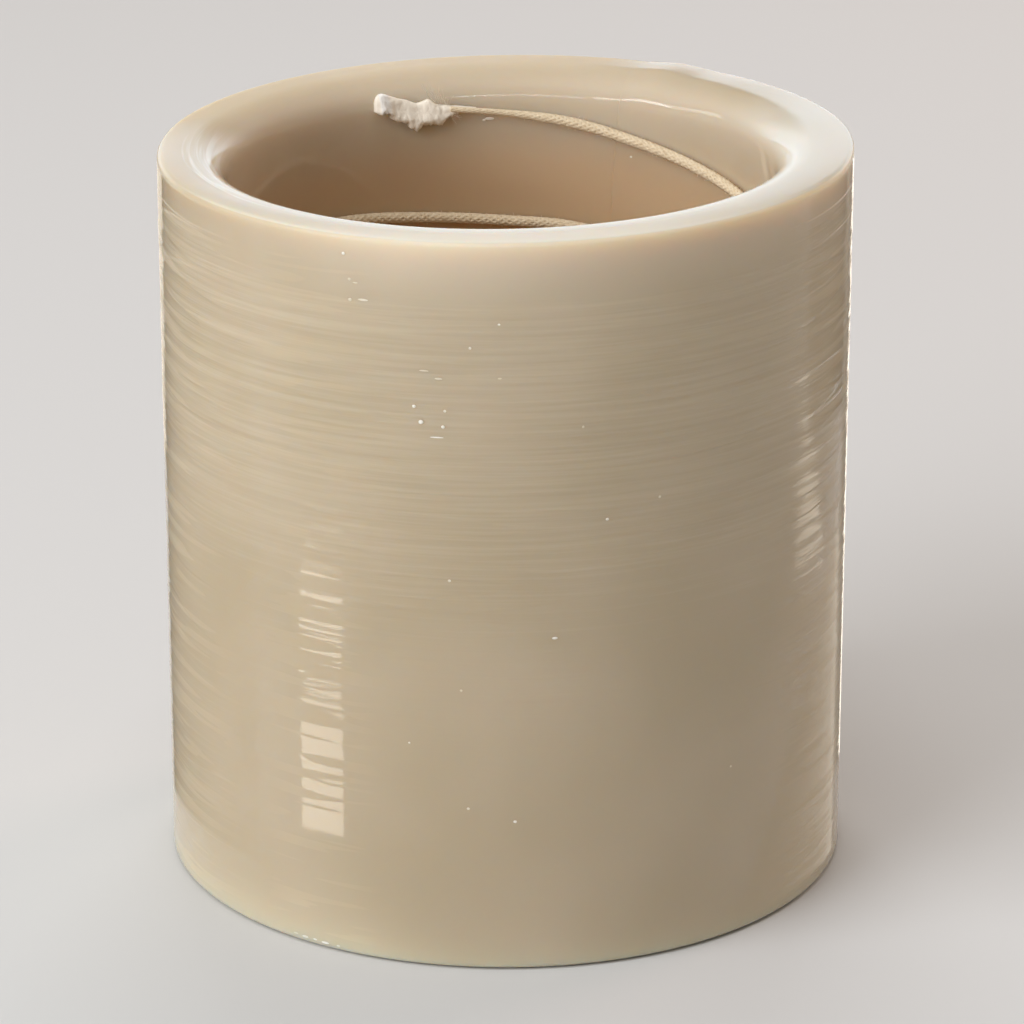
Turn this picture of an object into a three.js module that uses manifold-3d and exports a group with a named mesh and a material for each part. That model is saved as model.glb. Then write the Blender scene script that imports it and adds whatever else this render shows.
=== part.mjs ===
// A flexible one-piece pillar candle mold, as beekeepers use for beeswax, with its starter wick.
// Millimetres, +Z up. The origin is the centre of the underside, and +Y is the back.
// The candle is cast upside down, so the floor of the cavity shapes the candle's top.
import * as THREE from "three";
import { mergeVertices } from "three/addons/utils/BufferGeometryUtils.js";
import Module from "manifold-3d";

// The candle that the mold casts
const CANDLE_DIAMETER = 76.2;
const CANDLE_HEIGHT = 88.9;
const CANDLE_TOP_EDGE_RADIUS = 3;

// The cast body around it
const WALL = 10.1;
const BASE_THICKNESS = 9.4;
const LIP_RADIUS = 5.2;
const RIM_EDGE_RADIUS = 0.5;
const BASE_EDGE_RADIUS = 0.8;

// The casting is a little out of true: the rim rises towards +X, and the cavity sits towards -X
const RIM_SLOPE = 0.0129;
const CAVITY_OFFSET_X = -0.6;

// The knife slit that lets the wall spring open, cut by hand from the rim down to the wick hole
const SLIT_WIDTH = 0.3;
const SLIT_AZIMUTH = 26;
const SLIT_WANDER = 0.7;
const SLIT_WANDER_LENGTH = 47;

// The starter wick, a waxed cotton braid
const WICK_DIAMETER = 1.4;
const WICK_HOLE_CLEARANCE = 0.6;
const WICK_TO_MOLD = 0.3;
const WICK_SIDES = 8;
const WICK_STEPS = 80;
const WICK_STANDS_UP = 5;

// The frayed end of the wick
const TUFT_LENGTH = 11.4;
const TUFT_TO_WICK = 0.3;
const TUFT_FLATNESS = 0.62;
const TUFT_DROP = 0.9;

// How finely round forms are divided, and how far a cutter runs past what it cuts
const ROUND_SEGMENTS = 96;
const HOLE_SEGMENTS = 24;
const EDGE_DIVISIONS = 2;
const LIP_DIVISIONS = 4;
const TUFT_SEGMENTS = 14;
const CUT_MARGIN = 4;

const cavityRadius = CANDLE_DIAMETER / 2;
const outerRadius = cavityRadius + WALL;
const moldHeight = BASE_THICKNESS + CANDLE_HEIGHT + LIP_RADIUS;
const wickHoleRadius = WICK_DIAMETER / 2 + WICK_HOLE_CLEARANCE;

// Where the wick's centreline runs: this far out on the wall, and this far up on the floor
const onWall = cavityRadius - WICK_DIAMETER / 2 - WICK_TO_MOLD;
const onFloor = BASE_THICKNESS + WICK_DIAMETER / 2 + WICK_TO_MOLD;

const wasm = await Module();
wasm.setup();

// A closed geometry as a solid that can be joined and cut
function toSolid(geometry) {
  const bare = geometry.clone();
  bare.deleteAttribute("normal");
  bare.deleteAttribute("uv");
  const merged = mergeVertices(bare, 1e-4);
  const corners = merged.index.array;
  const kept = [];
  for (let i = 0; i < corners.length; i += 3) {
    const [a, b, c] = corners.slice(i, i + 3);
    if (a !== b && b !== c && c !== a) {
      kept.push(a, b, c);
    }
  }
  const mesh = new wasm.Mesh({
    numProp: 3,
    vertProperties: new Float32Array(merged.attributes.position.array),
    triVerts: new Uint32Array(kept),
  });
  return new wasm.Manifold(mesh);
}

function toGeometry(solid) {
  const mesh = solid.getMesh();
  const geometry = new THREE.BufferGeometry();
  const positions = new Float32Array(mesh.vertProperties);
  geometry.setAttribute("position", new THREE.BufferAttribute(positions, 3));
  geometry.setIndex(new THREE.BufferAttribute(new Uint32Array(mesh.triVerts), 1));
  geometry.computeVertexNormals();
  return geometry;
}

// A profile of (radius, height) points turned about the Z axis
function revolve(profile, segments) {
  return new THREE.LatheGeometry(profile, segments).rotateX(Math.PI / 2);
}

// A point at an azimuth in degrees, measured from the back (+Y) towards +X, about the cavity's axis
function polar(azimuth, radius, height) {
  const angle = THREE.MathUtils.degToRad(azimuth);
  const x = CAVITY_OFFSET_X + radius * Math.sin(angle);
  return new THREE.Vector3(x, radius * Math.cos(angle), height);
}

// The outer form: flat underside, plain wall and flat rim, with small rounds at both edges
function outerForm() {
  const profile = new THREE.Path();
  profile.moveTo(0, 0);
  profile.lineTo(outerRadius - BASE_EDGE_RADIUS, 0);
  profile.absarc(outerRadius - BASE_EDGE_RADIUS, BASE_EDGE_RADIUS, BASE_EDGE_RADIUS, -Math.PI / 2, 0);
  profile.lineTo(outerRadius, moldHeight - RIM_EDGE_RADIUS);
  profile.absarc(outerRadius - RIM_EDGE_RADIUS, moldHeight - RIM_EDGE_RADIUS, RIM_EDGE_RADIUS, 0, Math.PI / 2);
  profile.lineTo(0, moldHeight);
  return revolve(profile.getPoints(EDGE_DIVISIONS), ROUND_SEGMENTS);
}

// The cavity: the candle's own form, opening at the rim in a quarter-round lip
function cavityForm() {
  const corner = CANDLE_TOP_EDGE_RADIUS;
  const top = moldHeight + CUT_MARGIN;
  const lipCentre = cavityRadius + LIP_RADIUS;
  const profile = new THREE.Path();
  profile.moveTo(0, BASE_THICKNESS);
  profile.lineTo(cavityRadius - corner, BASE_THICKNESS);
  profile.absarc(cavityRadius - corner, BASE_THICKNESS + corner, corner, -Math.PI / 2, 0);
  profile.lineTo(cavityRadius, moldHeight - LIP_RADIUS);
  profile.absarc(lipCentre, moldHeight - LIP_RADIUS, LIP_RADIUS, Math.PI, Math.PI / 2, true);
  profile.lineTo(lipCentre, top);
  profile.lineTo(0, top);
  return revolve(profile.getPoints(LIP_DIVISIONS), ROUND_SEGMENTS).translate(CAVITY_OFFSET_X, 0, 0);
}

function wickHole() {
  const length = BASE_THICKNESS + 2 * CUT_MARGIN;
  const hole = new THREE.CylinderGeometry(wickHoleRadius, wickHoleRadius, length, HOLE_SEGMENTS);
  return hole.rotateX(Math.PI / 2).translate(CAVITY_OFFSET_X, 0, BASE_THICKNESS / 2);
}

// A thin upright sheet that wanders from side to side, running out from the wick hole through the wall
function slit() {
  const bottom = -CUT_MARGIN;
  const top = moldHeight + CUT_MARGIN;
  const points = Math.ceil((6 * (top - bottom)) / SLIT_WANDER_LENGTH);
  const left = [];
  const right = [];
  for (let i = 0; i <= points; i += 1) {
    const up = bottom + ((top - bottom) * i) / points;
    const across = SLIT_WANDER * Math.sin((2 * Math.PI * up) / SLIT_WANDER_LENGTH);
    left.unshift(new THREE.Vector2(across - SLIT_WIDTH / 2, up));
    right.push(new THREE.Vector2(across + SLIT_WIDTH / 2, up));
  }
  const reach = outerRadius + Math.abs(CAVITY_OFFSET_X) + CUT_MARGIN;
  const outline = new THREE.Shape([...right, ...left]);
  const sheet = new THREE.ExtrudeGeometry(outline, { depth: reach, bevelEnabled: false });
  sheet.rotateX(Math.PI / 2);
  sheet.rotateZ(Math.PI - THREE.MathUtils.degToRad(SLIT_AZIMUTH));
  return sheet.translate(CAVITY_OFFSET_X, 0, 0);
}

// Tips the rim out of level, and leaves the underside flat
function tipRim(geometry) {
  const place = geometry.attributes.position;
  for (let i = 0; i < place.count; i += 1) {
    const share = place.getZ(i) / moldHeight;
    place.setZ(i, place.getZ(i) + RIM_SLOPE * place.getX(i) * share);
  }
  return geometry;
}

function moldBody() {
  const body = toSolid(outerForm())
    .subtract(toSolid(cavityForm()))
    .subtract(toSolid(wickHole()))
    .subtract(toSolid(slit()));
  return tipRim(toGeometry(body));
}

// The wick's free end, where the frayed tuft begins: an azimuth in degrees and a depth below the rim
const WICK_END = [-11.5, 5.4];

// The wick on the inner wall, from its free end down: azimuth in degrees and depth below the rim
const ON_WALL = [
  WICK_END,
  [2, 6.2],
  [16, 7.2],
  [30, 8.8],
  [47, 10.6],
  [65, 12.3],
  [90, 13.9],
  [120, 15.2],
  [150, 16.3],
  [180, 17.3],
  [210, 18.2],
  [240, 18.9],
  [270, 19.5],
  [300, 20],
  [324, 20.4],
  [344, 21.6],
  [362, 22.5],
  [376, 22.9],
  [400, 25],
  [425, 29],
  [450, 35],
  [475, 42.5],
  [500, 51],
  [525, 60],
  [550, 69],
  [575, 77.5],
  [600, 84.5],
];

// The wick on the floor, from the foot of the wall to the wick hole: azimuth in degrees, share of the
// way out to the wall, and height above where it lies on the floor
const ON_FLOOR = [
  [625, 0.99, 2.2],
  [650, 0.95, 0.6],
  [676, 0.86, 0],
  [702, 0.72, 0],
  [727, 0.55, 0],
  [750, 0.38, 0.4],
  [768, 0.24, 2.4],
  [778, 0.12, 5.4],
];

// The whole centreline, from the tail in the wick hole to the free end
function wickRoute() {
  const tail = [WICK_TO_MOLD, BASE_THICKNESS / 2, BASE_THICKNESS, BASE_THICKNESS + WICK_STANDS_UP];
  const upHole = tail.map((height) => polar(0, 0, height));
  const acrossFloor = ON_FLOOR.map(([azimuth, share, lift]) => polar(azimuth, share * onWall, onFloor + lift));
  const upWall = ON_WALL.map(([azimuth, depth]) => polar(azimuth, onWall, moldHeight - depth));
  return [...upHole, ...acrossFloor.reverse(), ...upWall.reverse()];
}

function wick() {
  const section = new THREE.Shape();
  for (let i = 0; i < WICK_SIDES; i += 1) {
    const angle = (2 * Math.PI * i) / WICK_SIDES;
    const x = (WICK_DIAMETER / 2) * Math.cos(angle);
    const y = (WICK_DIAMETER / 2) * Math.sin(angle);
    if (i === 0) {
      section.moveTo(x, y);
    } else {
      section.lineTo(x, y);
    }
  }
  section.closePath();
  const route = new THREE.CatmullRomCurve3(wickRoute(), false, "centripetal");
  return new THREE.ExtrudeGeometry(section, {
    steps: WICK_STEPS,
    extrudePath: route,
    bevelEnabled: false,
  });
}

// The frayed end: a lumpy spindle, a knob at its tip and a belly behind it, flattened and bent to the wall
function wickTuft() {
  const lumps = new THREE.SplineCurve([
    new THREE.Vector2(0, 0),
    new THREE.Vector2(1.3, 0.4),
    new THREE.Vector2(1.6, 1.8),
    new THREE.Vector2(1.3, 3.2),
    new THREE.Vector2(2.3, 6.2),
    new THREE.Vector2(1.9, 8.6),
    new THREE.Vector2(0.8, 10.9),
    new THREE.Vector2(0, TUFT_LENGTH),
  ]);
  const profile = lumps.getPoints(TUFT_SEGMENTS).map((p) => new THREE.Vector2(Math.max(p.x, 0), p.y));
  const spindle = new THREE.LatheGeometry(profile, TUFT_SEGMENTS);
  const widest = Math.max(...profile.map((p) => p.x));
  const middle = cavityRadius - WICK_TO_MOLD - widest * TUFT_FLATNESS;
  const [endAzimuth, endDepth] = WICK_END;
  const place = spindle.attributes.position;
  for (let i = 0; i < place.count; i += 1) {
    const along = TUFT_LENGTH + TUFT_TO_WICK - place.getY(i);
    const azimuth = endAzimuth - THREE.MathUtils.radToDeg(along / middle);
    const radius = middle - TUFT_FLATNESS * place.getX(i);
    const height = moldHeight - endDepth - TUFT_DROP + place.getZ(i);
    place.setXYZ(i, ...polar(azimuth, radius, height).toArray());
  }
  return toGeometry(toSolid(spindle));
}

function piece(name, geometry, colour, roughness) {
  const material = new THREE.MeshStandardMaterial({ color: colour, roughness, metalness: 0 });
  const mesh = new THREE.Mesh(geometry, material);
  mesh.name = name;
  return mesh;
}

const mold = new THREE.Group();
mold.add(piece("mold_body", moldBody(), 0xc9bb9c, 0.32));

const starterWick = new THREE.Group();
starterWick.add(piece("wick", wick(), 0xe6d3ad, 0.75));
starterWick.add(piece("wick_tuft", wickTuft(), 0xf2ece0, 0.8));
mold.add(starterWick);

export default mold;
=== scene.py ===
import math
import random
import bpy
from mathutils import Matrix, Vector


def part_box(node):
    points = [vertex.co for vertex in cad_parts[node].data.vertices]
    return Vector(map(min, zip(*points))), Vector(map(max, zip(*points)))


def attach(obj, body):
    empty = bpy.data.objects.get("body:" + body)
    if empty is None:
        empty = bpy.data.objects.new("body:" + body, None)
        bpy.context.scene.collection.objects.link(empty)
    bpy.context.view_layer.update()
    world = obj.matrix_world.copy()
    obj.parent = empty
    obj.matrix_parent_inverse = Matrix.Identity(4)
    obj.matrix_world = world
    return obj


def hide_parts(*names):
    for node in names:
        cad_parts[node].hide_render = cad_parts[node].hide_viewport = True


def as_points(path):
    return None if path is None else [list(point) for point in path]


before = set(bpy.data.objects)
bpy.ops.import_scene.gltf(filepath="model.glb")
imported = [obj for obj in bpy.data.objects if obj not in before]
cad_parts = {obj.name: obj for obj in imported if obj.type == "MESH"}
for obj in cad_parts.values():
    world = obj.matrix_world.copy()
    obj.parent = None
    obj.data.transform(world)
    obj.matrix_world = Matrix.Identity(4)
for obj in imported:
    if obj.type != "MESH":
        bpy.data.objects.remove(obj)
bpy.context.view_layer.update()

from types import SimpleNamespace

import bmesh
import bpy
from mathutils import Vector, noise

# Sizes are in millimetres where they are named, and become metres through MM.
MM = 0.001

# The casting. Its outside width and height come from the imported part.
RIM_SLOPE = 0.0129
CAVITY_OFFSET = -0.6 * MM
CAVITY_RADIUS = 38.1 * MM
FLOOR_HEIGHT = 9.4 * MM
FLOOR_CORNER = 3.0 * MM
LIP_RADIUS = 5.2 * MM
RIM_EDGE = 0.7 * MM
BASE_EDGE = 0.8 * MM
WICK_HOLE_RADIUS = 1.3 * MM
SLIT_AZIMUTH = math.radians(26)
SLIT_LIP = 0.04 * MM
SLIT_DEPTH = 0.3 * MM
SLIT_WANDER = 0.7 * MM
SLIT_WANDER_LENGTH = 47 * MM

body_low, body_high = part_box("mold_body")
OUTER_RADIUS = body_high.x
HEIGHT = body_high.z / (1 + RIM_SLOPE * OUTER_RADIUS / (body_high.z - RIM_SLOPE * OUTER_RADIUS))

# The wick. Its centreline runs this far out on the wall and this far up on the floor.
WICK_DIAMETER = 1.4 * MM
WICK_TO_MOLD = 0.3 * MM
WICK_STANDS_UP = 5 * MM
ON_WALL_RADIUS = CAVITY_RADIUS - WICK_DIAMETER / 2 - WICK_TO_MOLD
ON_FLOOR_HEIGHT = FLOOR_HEIGHT + WICK_DIAMETER / 2 + WICK_TO_MOLD

# Kinds of node that come again and again, some of them with a setting
ADD, SUBTRACT, MULTIPLY, MULTIPLY_ADD, DIVIDE, MODULO, POWER, MINIMUM, MAXIMUM, ABSOLUTE, SINE, COSINE = (
    ("ShaderNodeMath", {"operation": name}) for name in (
        "ADD SUBTRACT MULTIPLY MULTIPLY_ADD DIVIDE MODULO POWER MINIMUM MAXIMUM ABSOLUTE SINE COSINE"
    ).split()
)
VECTOR_ADD, VECTOR_MULTIPLY, VECTOR_SCALE, DOT_PRODUCT, CROSS_PRODUCT = (
    ("ShaderNodeVectorMath", {"operation": name})
    for name in "ADD MULTIPLY SCALE DOT_PRODUCT CROSS_PRODUCT".split()
)
COMBINE = "ShaderNodeCombineXYZ"
RANGE = "ShaderNodeMapRange"
SMOOTH = (RANGE, {"interpolation_type": "SMOOTHSTEP"})
MIX = ("ShaderNodeMix", {"data_type": "RGBA"})
NOISE = "ShaderNodeTexNoise"
BUMP = "ShaderNodeBump"
ON_POINTS = "GeometryNodeInstanceOnPoints"
MESH_TO_CURVE = "GeometryNodeMeshToCurve"
CURVE_TO_MESH = "GeometryNodeCurveToMesh"
CIRCLE = "GeometryNodeCurvePrimitiveCircle"


def adder(tree):
    """The function that adds a node to a tree, with its settings, and its inputs by number or by name."""
    def add(kind, *inputs, **settings):
        if isinstance(kind, tuple):
            kind, shared = kind
            settings.update(shared)
        node = tree.nodes.new(kind)
        for name, value in settings.items():
            setattr(node, name, value)
        by_name = inputs and isinstance(inputs[0], dict)
        for key, value in inputs[0].items() if by_name else enumerate(inputs):
            socket = node.inputs[key]
            if isinstance(value, bpy.types.Node):
                value = next(output for output in value.outputs if output.enabled)
            if isinstance(value, bpy.types.NodeSocket):
                tree.links.new(value, socket)
            else:
                socket.default_value = value
        return node
    return add


def linear(code):
    """An sRGB hex colour as linear RGBA."""
    parts = [int(code[i:i + 2], 16) / 255 for i in (1, 3, 5)]
    curve = [c / 12.92 if c <= 0.04045 else ((c + 0.055) / 1.055) ** 2.4 for c in parts]
    return (*curve, 1.0)


def placed(name, data):
    """A new object in the scene, with its data."""
    thing = bpy.data.objects.new(name, data)
    bpy.context.scene.collection.objects.link(thing)
    return thing


def polar(azimuth, radius, height):
    """A point about the cavity's axis. The azimuth is in degrees from the back towards +X."""
    angle = math.radians(azimuth)
    return Vector((CAVITY_OFFSET + radius * math.sin(angle), radius * math.cos(angle), height))


# Camera: a long lens, a little above the rim
CAMERA_DISTANCE = 653.8 * MM
CAMERA_HEIGHT = 285.9 * MM
CAMERA_PITCH = math.radians(19.93)
CAMERA_YAW = math.radians(0.08)
CAMERA_LENS = 171.97


def make_camera():
    data = bpy.data.cameras.new("view_of_the_mold")
    data.lens = CAMERA_LENS
    camera = placed("view_of_the_mold", data)
    camera.location = (0, -CAMERA_DISTANCE, CAMERA_HEIGHT)
    camera.rotation_euler = (math.pi / 2 - CAMERA_PITCH, 0, -CAMERA_YAW)
    bpy.context.scene.camera = camera


make_camera()


# The route of the wick, from its free end down the wall: azimuth in degrees, depth below the rim in mm
ON_WALL = [
    (-11.5, 5.4), (2, 6.2), (16, 7.2), (30, 8.8), (47, 10.6), (65, 12.3), (90, 13.9), (120, 15.2),
    (150, 16.3), (180, 17.3), (210, 18.2), (240, 18.9), (270, 19.5), (300, 20), (324, 20.4),
    (344, 21.6), (362, 22.5), (376, 22.9), (400, 25), (425, 29), (450, 35), (475, 42.5), (500, 51),
    (525, 60), (550, 69), (575, 77.5), (600, 84.5),
]

# Then over the floor to the wick hole: azimuth in degrees, share of the way out to the wall, rise in mm
ON_FLOOR = [
    (625, 0.99, 2.2), (650, 0.95, 0.6), (676, 0.86, 0), (702, 0.72, 0), (727, 0.55, 0),
    (750, 0.38, 0.4), (768, 0.24, 2.4), (778, 0.12, 5.4),
]


def wick_route():
    """The points of the wick, from the tail in the wick hole to the free end."""
    heights = (WICK_TO_MOLD, FLOOR_HEIGHT / 2, FLOOR_HEIGHT, FLOOR_HEIGHT + WICK_STANDS_UP)
    points = [polar(0, 0, height) for height in heights]
    for azimuth, share, rise in reversed(ON_FLOOR):
        points.append(polar(azimuth, share * ON_WALL_RADIUS, ON_FLOOR_HEIGHT + rise * MM))
    for azimuth, depth in reversed(ON_WALL):
        points.append(polar(azimuth, ON_WALL_RADIUS, HEIGHT - depth * MM))
    return points


def part_way(a, b, share):
    """The number that lies that share of the way from a to b."""
    return a + (b - a) * share


def blend(a, b, start, end, t):
    """The point at t on the straight line that is at a at the start and at b at the end."""
    return ((end - t) * a + (t - start) * b) / (end - start)


def smooth_line(points, step):
    """A centripetal Catmull-Rom curve through the points, as points about step apart."""
    ends = [2 * points[0] - points[1], *points, 2 * points[-1] - points[-2]]
    line = [points[0]]
    for a, b, c, d in zip(ends, ends[1:], ends[2:], ends[3:]):
        t0 = 0
        t1 = math.sqrt((b - a).length)
        t2 = t1 + math.sqrt((c - b).length)
        t3 = t2 + math.sqrt((d - c).length)
        count = max(1, round((c - b).length / step))
        for i in range(1, count + 1):
            t = t1 + (t2 - t1) * i / count
            ab = blend(a, b, t0, t1, t)
            bc = blend(b, c, t1, t2, t)
            cd = blend(c, d, t2, t3, t)
            abc = blend(ab, bc, t0, t2, t)
            bcd = blend(bc, cd, t1, t3, t)
            line.append(blend(abc, bcd, t1, t2, t))
    return line


def chain(count, closed=False):
    """The edges that join so many points one after the other."""
    edges = [(i, i + 1) for i in range(count - 1)]
    return edges + [(count - 1, 0)] if closed else edges


def mesh_object(name, points, edges=(), faces=(), values=None):
    """A new object of points, edges and faces, with one number for each point in each named attribute."""
    mesh = bpy.data.meshes.new(name)
    mesh.from_pydata(points, edges, faces)
    for key, numbers in (values or {}).items():
        attribute = mesh.attributes.new(key, "FLOAT", "POINT")
        attribute.data.foreach_set("value", numbers)
    return placed(name, mesh)


def new_tree(name, sizes):
    """A geometry tree with a geometry in and out, and one named input for each size."""
    tree = bpy.data.node_groups.new(name, "GeometryNodeTree")
    for way in ("INPUT", "OUTPUT"):
        tree.interface.new_socket("Geometry", in_out=way, socket_type="NodeSocketGeometry")
    for key, value in sizes.items():
        kind = "NodeSocketInt" if isinstance(value, int) else "NodeSocketFloat"
        socket = tree.interface.new_socket(key, in_out="INPUT", socket_type=kind)
        socket.default_value = value
    add = adder(tree)
    return tree, add, add("NodeGroupInput").outputs


def end_tree(add, geometry, material, smooth=False):
    """Closes a tree with real geometry in the one material."""
    if smooth:
        geometry = add("GeometryNodeSetShadeSmooth", {"Geometry": geometry, "Shade Smooth": True})
    real = add("GeometryNodeRealizeInstances", geometry)
    painted = add("GeometryNodeSetMaterial", {"Geometry": real, "Material": material})
    add("NodeGroupOutput", painted)


def grown(source, name, tree):
    """The plain mesh that a geometry tree makes of an object, which it takes the place of."""
    modifier = source.modifiers.new(tree.name, "NODES")
    modifier.node_group = tree
    shaped = source.evaluated_get(bpy.context.evaluated_depsgraph_get())
    mesh = bpy.data.meshes.new_from_object(shaped)
    mesh.name = name
    source.modifiers.remove(modifier)
    bpy.data.objects.remove(source)
    return placed(name, mesh)


def round_pattern(add, around, along, spacing, inputs, **settings):
    """Noise that runs round the axis, stretched so that its marks are so far apart along the outline."""
    upward = add(VECTOR_SCALE, {0: add(COMBINE, {"Z": along}), "Scale": 1 / spacing})
    where = add(VECTOR_ADD, around, upward)
    return add(NOISE, {"Vector": where, "Scale": 1.0, **inputs}, **settings)


def readings(names, read):
    """What a tree or a material reads from each point of its piece, by name."""
    return SimpleNamespace(**{name: read(name) for name in names.split()})


def surface(add, inputs):
    """Ends a material with the kind of shader that all solid things have."""
    shader = add("ShaderNodeBsdfPrincipled", inputs)
    add("ShaderNodeOutputMaterial", shader)


def new_material(name):
    material = bpy.data.materials.new(name)
    material.use_nodes = True
    material.node_tree.nodes.clear()
    return material, adder(material.node_tree)


# Patterns round the wall, how far apart and how rough: fine rings, steps, polished bands, painted highlight
# streaks
RING_SPACINGS = [(0.6 * MM, 3.0), (3 * MM, 0.0), (1.5 * MM, 1.0), (0.8 * MM, 2.0)]
RING_LENGTH = 25 * MM
RING_RELIEF = 0.05 * MM
CLOUD_SIZE = 25 * MM
LIGHT_DEPTH = 6 * MM

# Where marks of use, the painted highlight on the rim and the painted light begin and where they are full,
# along X, Y or towards the back left, and the shares between which they go, where they aren't 0 and 1
RIM_LEFT = (-22 * MM, -38 * MM)
RIM_FRONT = (-20 * MM, -45 * MM)
RIM_BACK = (12 * MM, 36 * MM)
RIM_HIGHLIGHT = (10 * MM, -8 * MM, 0.05, 0.32)
BACK_LEFT = (-0.5, 1, 0)
WALL_SIDES = (34 * MM, 42 * MM, 0.0, 0.7)
STRIP_X = -25 * MM
STRIP_WIDTH = (9 * MM, 4 * MM)
LIT_SIDE = (-44 * MM, -8 * MM)
WARM_SIDE = (-10 * MM, 30 * MM)
CORNER_REACH = (-22 * MM, -6 * MM, 1.2, 2.0)

# How strong: rings on the left of the lip, low steps against rings, what is rubbed away in the strip,
# painted light in the lip, painted white highlight on the front of the rim
RINGS_ON_LEFT = 0.5
LOW_STEP_RELIEF = 0.6
RUBBED_AWAY = 0.8
LIP_LIGHT = 0.4
FRONT_HIGHLIGHT = 0.18

# Roughness of the polished skin, and how strongly it mirrors where it is not dull
POLISHED = 0.05
GLOSS = 0.5

# The levels of the patterns between which what they turn into comes up, and its shares
CLOUDS = (0.35, 0.68)
LOW_STEPS = (0.46, 0.54)
MATT_BANDS = (0.49, 0.47, 0.0, 0.13)
BLANK_BANDS = (0.455, 0.435)
PALE_LINES = (0.35, 0.65, 0.0, 0.16)
HIGHLIGHT_STREAKS = (0.46, 0.66, 0.0, 0.5)


def ring_patterns(add, known):
    """Patterns that run round the wall, each with its own spacing."""
    around = add(VECTOR_MULTIPLY, known.place, (1 / RING_LENGTH, 1 / RING_LENGTH, 0))
    return [
        round_pattern(add, around, known.along, spacing, {"Detail": detail, "Roughness": 0.6})
        for spacing, detail in RING_SPACINGS
    ]


def places_of_wear_and_painted_light(add, known):
    """Adds the shares from 0 to 1 that say where on the casting each place is."""
    sides = add("ShaderNodeSeparateXYZ", known.place)
    known.x = sides.outputs["X"]
    # The front, what lies behind and the left also place the painted white highlight and its streaks on the
    # rim
    known.front = add(SMOOTH, sides.outputs["Y"], *RIM_FRONT)
    known.behind = add(DOT_PRODUCT, known.place, BACK_LEFT)
    known.back = add(SMOOTH, known.behind, *RIM_BACK)
    known.top = add(ADD, known.lip_top, known.land)
    left = add(MULTIPLY, add(SMOOTH, known.x, *RIM_LEFT), known.lip_top)
    known.left = add(MULTIPLY, left, add(SUBTRACT, 1.0, known.back))
    aside = add(SMOOTH, add(ABSOLUTE, known.x), *WALL_SIDES)
    known.aside = add(MULTIPLY, aside, known.wall)
    # A strip down the wall has been rubbed smooth
    off_strip = add(ABSOLUTE, add(SUBTRACT, known.x, STRIP_X))
    known.strip = add(MULTIPLY, add(SMOOTH, off_strip, *STRIP_WIDTH), known.wall)
    known.unrubbed = add(MULTIPLY_ADD, known.strip, -RUBBED_AWAY, 1.0)


def rubber_relief(add, known):
    """The height of the fine rings, and the same with low steps, as it stands on the rubbed wall."""
    # The rings are fine low down, but show all the way down the two sides
    ringed = add(MAXIMUM, known.aside, known.rings)
    rings = add(MULTIPLY, add(MULTIPLY_ADD, known.left, RINGS_ON_LEFT, ringed), known.fine)
    # The steps are too slight to see but where the wall mirrors something
    steps = add(MULTIPLY, add(SMOOTH, known.steps, *LOW_STEPS), ringed)
    relief = add(MULTIPLY_ADD, steps, LOW_STEP_RELIEF, rings)
    return rings, add(MULTIPLY, relief, known.unrubbed)


def rubber_shine(add, known):
    """How rough the skin is and how strongly it mirrors: some rings are matt, and some mirror nothing."""
    matt = add(MULTIPLY, add(SMOOTH, known.bands, *MATT_BANDS), known.unrubbed)
    roughness = add(MULTIPLY_ADD, matt, known.rings, POLISHED)
    # In the strip and down the two sides the blank rings break up what the others mirror
    broken = add(MAXIMUM, known.strip, known.aside)
    blank = add(MULTIPLY, add(SMOOTH, known.bands, *BLANK_BANDS), broken)
    # Wax has dulled the back of the rim and the front of its flat land
    dulled = add(MULTIPLY_ADD, known.front, known.land, add(MULTIPLY, known.back, known.top))
    dulled = add(MAXIMUM, dulled, blank)
    return roughness, add(MULTIPLY_ADD, dulled, -GLOSS, GLOSS)


def rubber_colour(add, known, rings):
    """The tan skin, and over it one layer after another: faint clouds, pale ring lines, and painted light
    and shade.
    """
    cloud = add(NOISE, {"Vector": known.place, "Scale": 1 / CLOUD_SIZE, "Detail": 2.0})
    cloud = add(RANGE, cloud, *CLOUDS)
    # Painted light below the rim: more of it towards the right, and warmer there
    lit = add(MULTIPLY, add(SMOOTH, known.x, *LIT_SIDE), known.wall_glow)
    warm = add(SMOOTH, known.x, *WARM_SIDE)
    warmth = add(MIX, {"Factor": warm, "A": linear("#E9DDC9"), "B": linear("#E4D5BD")})
    # Painted white highlight on the rim, least at the back, and painted highlight streaks on its left
    white = add(SMOOTH, known.behind, *RIM_HIGHLIGHT)
    white = add(MULTIPLY, add(MULTIPLY_ADD, known.front, FRONT_HIGHLIGHT, white), known.top)
    streak = add(SMOOTH, known.streak, *HIGHLIGHT_STREAKS)
    white = add(MULTIPLY_ADD, streak, known.left, white)
    # Painted glow up from the corner of the base, climbing higher at the left
    corner = add(POWER, known.base_edge, add(SMOOTH, known.x, *CORNER_REACH))
    layers = [
        # Faint clouds in the casting
        (cloud, linear("#C7B89F")),
        # The rings show as fine pale and dark lines, paler where their relief stands higher
        (add(RANGE, rings, *PALE_LINES), linear("#EDE3CC")),
        # Painted shade: the skin is painted browner deeper in the cavity, where the light is dimmer and
        # warmer
        (known.inside, linear("#CDB18E")),
        # Painted light: the wall below the rim is painted paler, most of it at the right, and the lip too,
        # as light that comes over the rim soaks down into them
        (lit, warmth),
        (add(MULTIPLY, known.lip_glow, LIP_LIGHT), linear("#EEE4D3")),
        # Painted highlight: the rim is painted white, least at the back, with painted highlight streaks on
        # its left
        (white, linear("#EFF2EE")),
        # Painted glow: the corner of the base is painted paler for the light it lets through, and at the
        # left this painted glow climbs the wall
        (corner, linear("#F0E4C8")),
    ]
    skin = linear("#C0B196")
    for share, colour in layers:
        skin = add(MIX, {"Factor": share, "A": skin, "B": colour})
    return skin


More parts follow.
